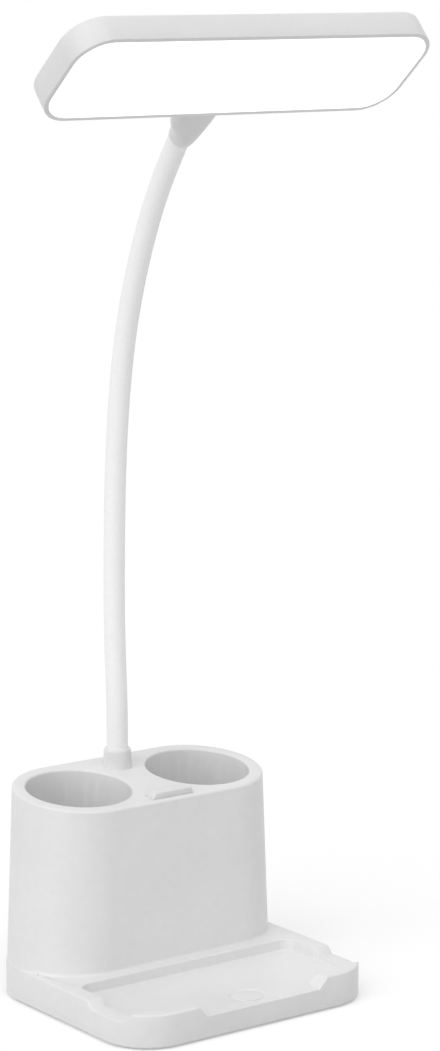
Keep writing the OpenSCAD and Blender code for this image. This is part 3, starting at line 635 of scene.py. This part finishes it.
def collar():
    """The collar that the neck stands in: a ring with a rounded shoulder, cut to the deck's slope, on
    its stem."""
    foot = deck_z(NECK_BACK)
    top = foot + COLLAR_H
    shoulder = 2.4
    lip = 0.35
    bore = SLEEVE_R + BORE_GAP
    core_bore = CORE_R + BORE_GAP
    low = DECK_H - 1
    outline = [(core_bore, COLLAR_FOOT), (core_bore, SLEEVE_LOW), (bore, SLEEVE_LOW), (bore, top - 0.3),
               (bore + 0.1, top - 0.1), (bore + lip, top)]
    reach = COLLAR_R - lip - bore - lip
    steps = 8
    for k in range(1, steps + 1):
        turn = radians(90 - 90 * k / steps)
        outline.append((bore + lip + reach * cos(turn), top - shoulder + shoulder * sin(turn)))
    outline += [(COLLAR_R - 0.2, top - 5), (COLLAR_R, DECK_H + 1.6), (COLLAR_R, low),
                (COLLAR_STEM_R, low), (COLLAR_STEM_R, COLLAR_FOOT)]
    bm = bmesh.new()
    row = [bm.verts.new((r, 0, z)) for r, z in outline]
    lines = [bm.edges.new(pair) for pair in zip(row, row[1:] + row[:1])]
    bmesh.ops.spin(bm, geom=row + lines, cent=(0, 0, 0), axis=(0, 0, 1), angle=2 * pi, steps=56,
                   use_merge=True)
    bmesh.ops.recalc_face_normals(bm, faces=bm.faces)

    slope = Matrix.Translation((0, 0, foot)) @ Matrix.Rotation(DECK_SLOPE, 4, 'X')
    under_deck = placed_rod(slope, 14.0, low=-6.0, high=0.0, sides=48, bore=COLLAR_STEM_R + 0.05)
    bm = combined(bm, under_deck, 'DIFFERENCE')
    finish_piece(bm, 'turned_collar', 'base', 'base', 'neck_collar', 40,
                 TO_LAMP @ Matrix.Translation((0, NECK_BACK, 0)))


# ---------------------------------------------------------------- the neck

NECK_SHARP = 40            # degrees
CORE_TURNS = 4.0           # how far before and after the last bend the core is curved
SLEEVE_TURNS = 0.7         # where the sleeve's last curve starts, as a share of half a link


def neck_place(y, z, lean):
    """A place in the neck's plane, with z along the neck where it leans by that many degrees."""
    return Matrix.Translation((0, y, z)) @ Matrix.Rotation(radians(lean), 4, 'X')


def middle(k):
    """The middle of a link, where two pieces of the neck meet."""
    if k == 0:
        return NECK_BACK, FIRST_BEND - LINK / 2
    return (bends[k][0] + bends[k + 1][0]) / 2, (bends[k][1] + bends[k + 1][1]) / 2


def curve_over(start, corner, end, steps=14):
    """Places on the curve that leaves start towards corner and comes to end from it."""
    places = []
    for n in range(steps + 1):
        t = n / steps
        y, z = ((1 - t) ** 2 * a + 2 * t * (1 - t) * b + t ** 2 * c for a, b, c in zip(start, corner, end))
        dy, dz = ((1 - t) * (b - a) + t * (c - b) for a, b, c in zip(start, corner, end))
        places.append(neck_place(y, z, -degrees(atan2(dy, dz))))
    return places


def in_head(y, z):
    """A point on the head's middle line, measured in the head."""
    return FROM_HEAD @ Vector((0, y, z))


def into_head(along):
    """A place on the line of the ferrule, that far from the neck's end."""
    return (Matrix.Translation(in_head(HEAD_NECK.y - along, HEAD_NECK.z))
            @ Matrix.Rotation(pi / 2 - HEAD_SLOPE, 4, 'X'))


def smooth_route(points, steps=6):
    """Places on a smooth line through points, with z along it."""
    knots = [Vector(p) for p in points]
    knots = [knots[0] * 2 - knots[1]] + knots + [knots[-1] * 2 - knots[-2]]
    line = []
    for a, b, c, d in zip(knots, knots[1:], knots[2:], knots[3:]):
        line += interpolate_bezier(b, b + (c - a) / 6, c - (d - b) / 6, c, steps)[bool(line):]
    ways = [after - before for before, after in zip([line[0]] + line, line[1:] + [line[-1]])]
    return [Matrix.Translation(p) @ Vector((0, 0, 1)).rotation_difference(way).to_matrix().to_4x4()
            for p, way in zip(line, ways)]


def along_neck(name, radius, bore, finish, nodes, first, last, sides):
    """One long piece of the neck, in a length for each joint."""
    def length(part, places, body, node):
        return finish_piece(drawn_tube(places, radius, bore, sides), '%s_%s' % (name, part), body, finish,
                            node, NECK_SHARP, TO_LAMP)

    length('foot', first + [neck_place(*middle(0), 0)], 'base', nodes(0))
    for k in range(1, LINKS + 1):
        piece = length(k, curve_over(middle(k - 1), bends[k], middle(k)), None, nodes(k))
        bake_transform(piece)
    length('end', [neck_place(*middle(LINKS), LEAN[LINKS])] + last, 'head', nodes(LINKS))


def neck():
    """Sleeve, wound core and wire, from the collar to the head."""
    def last_curve(share, along, steps):
        """The curve from before the last bend to a place in the boss."""
        before = [tip + (mid - tip) * share for mid, tip in zip(middle(LINKS), neck_end)]
        after = into_head(along).translation
        return curve_over(before, neck_end, (after.y, after.z), steps)

    core_end = last_curve(CORE_TURNS / (LINK / 2), CORE_TURNS, 6)
    along_neck('silicone_sleeve', SLEEVE_R, CORE_R + BORE_GAP, 'silicone',
               lambda k: 'neck_sleeve_%d' % k, [neck_place(NECK_BACK, SLEEVE_LOW, 0)],
               last_curve(SLEEVE_TURNS, BOSS_START, 10), sides=40)
    along_neck('wound_core', CORE_R, WIRE_WAY_R, 'wound',
               lambda k: 'neck_core_%d' % k, [neck_place(NECK_BACK, CORE_LOW, 0)],
               core_end + [into_head(FERRULE_END)], sides=24)
    to_board = smooth_route([into_head(FERRULE_END + 1).translation, in_head(HEAD_W / 2 + 6, WIRE_ON_BOARD),
                             in_head(16, WIRE_ON_BOARD), in_head(4, WIRE_ON_BOARD)])
    along_neck('lamp_wire', WIRE_R, 0, 'wire', lambda k: 'neck_wire',
               smooth_route(WIRE_FROM_BOARD), core_end + to_board, sides=12)


# ---------------------------------------------------------------- the head

def eased(knots, at):
    """A value on the smooth line through knots of place and value."""
    last = len(knots) - 1
    k = max(n for n in range(last) if knots[n][0] <= at or n == 0)

    def slope(n):
        a, b = max(n - 1, 0), min(n + 1, last)
        return (knots[b][1] - knots[a][1]) / (knots[b][0] - knots[a][0])

    (s0, v0), (s1, v1) = knots[k], knots[k + 1]
    w = s1 - s0
    t = (at - s0) / w
    return ((1 + 2 * t) * (1 - t) ** 2 * v0 + t * (1 - t) ** 2 * w * slope(k)
            + t ** 2 * (3 - 2 * t) * v1 + t ** 2 * (t - 1) * w * slope(k + 1))


def boss_ring(at, inset=0.0):
    """The place of one ring of the boss, as a matrix that takes the unit circle there."""
    wide, low, high = (eased([(s[0], s[n]) for s in BOSS], at) for n in (1, 2, 3))
    return (Matrix.Translation((0, HEAD_NECK.y - at, (low + high) / 2)) @ Matrix.Rotation(pi / 2, 4, 'X')
            @ Matrix.Diagonal((wide - inset, (high - low) / 2 - inset, 1, 1)))


def head_shell():
    """The head's moulding: a flat tray with a soft top edge, run out into the boss that holds the
    neck's end."""
    bm = rounded_plate(HEAD_L, HEAD_W, 0, HEAD_T, HEAD_CORNER)
    soften(bm, lambda e: lies_at(e, HEAD_T), HEAD_TOP_EDGE, 4)
    soften(bm, lambda e: lies_at(e, 0), HEAD_LOW_EDGE, 2)

    near, far = BOSS[0][0], BOSS[-1][0]
    reach = [near + (far - near) * n / BOSS_STEPS for n in range(BOSS_STEPS + 1)]
    ferrule = Matrix.Translation(HEAD_NECK) @ Matrix.Rotation(pi / 2, 4, 'X')
    rim = [ferrule @ Matrix.Translation((0, 0, BOSS_START + z)) @ Matrix.Diagonal((r, r, 1, 1))
           for r, z in ((BOSS_R - 0.15, 0), (BOSS_R, 0.12), (BOSS_R + 0.2, 0.5))]
    bm = combined(bm, lofted(rim + [boss_ring(at) for at in reach]), 'UNION')

    inside = rounded_plate(HEAD_L - 2 * HEAD_WALL, HEAD_W - 2 * HEAD_WALL, -1, HEAD_T - HEAD_WALL,
                           HEAD_CORNER - HEAD_WALL)
    bm = combined(bm, inside, 'DIFFERENCE')
    hollow = [boss_ring(at, BOSS_WALL) for at in [BOSS_FACE] + [s for s in reach if s > BOSS_FACE + 1]]
    bm = combined(bm, lofted(hollow + [Matrix.Translation((0, -3, 0)) @ hollow[-1]]), 'DIFFERENCE')
    bm = combined(bm, placed_rod(ferrule, FERRULE_R + BORE_GAP, low=-3, high=BOSS_FACE + 1), 'DIFFERENCE')
    for x in (-LED_POST[0], LED_POST[0]):
        for y in (-LED_POST[1], LED_POST[1]):
            post = placed_rod(Matrix.Translation((x, y, 0)), LED_POST_R, low=LED_BOARD_TOP,
                              high=HEAD_T - HEAD_WALL + 0.5, sides=24, bore=SCREW_HOLE_R)
            bm = combined(bm, post, 'UNION')
    finish_piece(bm, 'head_moulding', 'head', 'head', 'head_shell', matrix=TO_HEAD)


def lit_face():
    """The opal cover of the lamps: a shallow tray with a lip that goes up inside the head's walls."""
    edge = HEAD_WALL + DIFFUSER_GAP
    bm = rounded_plate(HEAD_L - 2 * edge, HEAD_W - 2 * edge, -DIFFUSER_PROUD, DIFFUSER_LIP_H,
                       HEAD_CORNER - edge)
    soften(bm, lambda e: lies_at(e, -DIFFUSER_PROUD), DIFFUSER_EDGE, 3)
    top = [f for f in bm.faces if lies_at(f, DIFFUSER_LIP_H)]
    bmesh.ops.inset_region(bm, faces=top, thickness=DIFFUSER_LIP, use_even_offset=True)
    sunk = bmesh.ops.extrude_discrete_faces(bm, faces=top)['faces']
    bmesh.ops.translate(bm, vec=(0, 0, -DIFFUSER_SUNK), verts=list({v for f in sunk for v in f.verts}))
    finish_piece(bm, 'opal_cover', 'head', 'opal', 'diffuser', matrix=TO_HEAD)


base_moulding()
power_key()
collar()
neck()
head_shell()
lit_face()

# Nodes that keep their shape
KEEP = {
    'base_cover': 'cover', 'rubber_feet': 'pads', 'cover_screws': 'zinc', 'counterweight': 'plate',
    'battery_cell': 'cell', 'battery_strap': 'cover', 'strap_screws': 'zinc', 'control_board': 'green',
    'board_screws': 'zinc', 'charge_socket': 'socket', 'switch_plunger': 'black', 'switch_body': 'black',
    'switch_board': 'green', 'switch_screws': 'zinc', 'collar_washer': 'zinc', 'collar_nut': 'zinc',
    'led_board': 'white', 'leds': 'phosphor', 'led_board_screws': 'zinc',
    'neck_ferrule': 'zinc', 'ferrule_nut': 'zinc'}
for node, finish in KEEP.items():
    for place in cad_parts[node].material_slots:
        place.material = FINISH[finish]


# ---------------------------------------------------------------- floor, light and camera

FLOOR_LIFT = 0.345         # how much the floor shines where it is seen
ROOM_LIGHT = 0.54          # how bright the room is where it lights the lamp; it is seen as white


def paper_floor():
    """A plain pale floor that runs to white away from the lamp's shadow."""
    bm = bmesh.new()
    bmesh.ops.create_circle(bm, cap_ends=True, segments=96, radius=6.0)
    floor = new_object('floor', bm)
    finish, tree = new_finish('white_paper_sweep')
    paper = put(tree, 'ShaderNodeBsdfDiffuse', {'Color': colour('#DADADA')})
    strength = put(tree, 'ShaderNodeMath', {0: seen_directly(tree), 1: FLOOR_LIFT}, operation='MULTIPLY')
    lift = put(tree, 'ShaderNodeEmission', {'Color': (1, 1, 1, 1), 'Strength': strength.outputs['Value']})
    both = put(tree, 'ShaderNodeAddShader', {0: paper.outputs['BSDF'], 1: lift.outputs['Emission']})
    put(tree, 'ShaderNodeOutputMaterial', {'Surface': both.outputs['Shader']})
    floor.data.materials.append(finish)


def soft_room():
    """The room around: an even white that lights the lamp softly."""
    world = bpy.data.worlds.new('soft_room')
    bpy.context.scene.world = world
    world.use_nodes = True
    tree = world.node_tree
    tree.nodes.clear()
    strength = grey_range(tree, seen_directly(tree), ROOM_LIGHT, 1.0)
    sky = put(tree, 'ShaderNodeBackground', {'Color': (1, 1, 1, 1), 'Strength': strength})
    put(tree, 'ShaderNodeOutputWorld', {'Surface': sky.outputs['Background']})


def broad_light(name, turn, height, strength, spread):
    """A broad light, by its compass direction from the front towards the left, its height above the
    floor and its spread, in degrees."""
    lamp = bpy.data.lights.new(name, 'SUN')
    lamp.energy = strength
    lamp.angle = radians(spread)
    holder = bpy.data.objects.new(name, lamp)
    turn, height = radians(turn), radians(height)
    towards = Vector((-sin(turn) * cos(height), -cos(turn) * cos(height), sin(height)))
    holder.rotation_euler = (-towards).to_track_quat('-Z', 'Y').to_euler()
    bpy.context.scene.collection.objects.link(holder)


def photo_camera():
    """The camera, where the photograph was taken from and with its lens."""
    place = TO_LAMP @ Vector((-788.83, -1124.93, 448.47))
    target = TO_LAMP @ Vector((44.79, 0, 199.32))
    data = bpy.data.cameras.new('photo_camera')
    data.sensor_width = 36.0
    data.lens = 109.47
    data.clip_start = 0.01
    camera = bpy.data.objects.new('photo_camera', data)
    camera.location = place
    camera.rotation_euler = (target - place).to_track_quat('-Z', 'Y').to_euler()
    bpy.context.scene.collection.objects.link(camera)
    bpy.context.scene.camera = camera


paper_floor()
soft_room()
broad_light('left_window', turn=76, height=30, strength=0.98, spread=55)
broad_light('overhead', turn=10, height=74, strength=0.85, spread=70)
photo_camera()
bpy.context.scene.view_settings.view_transform = 'Standard'
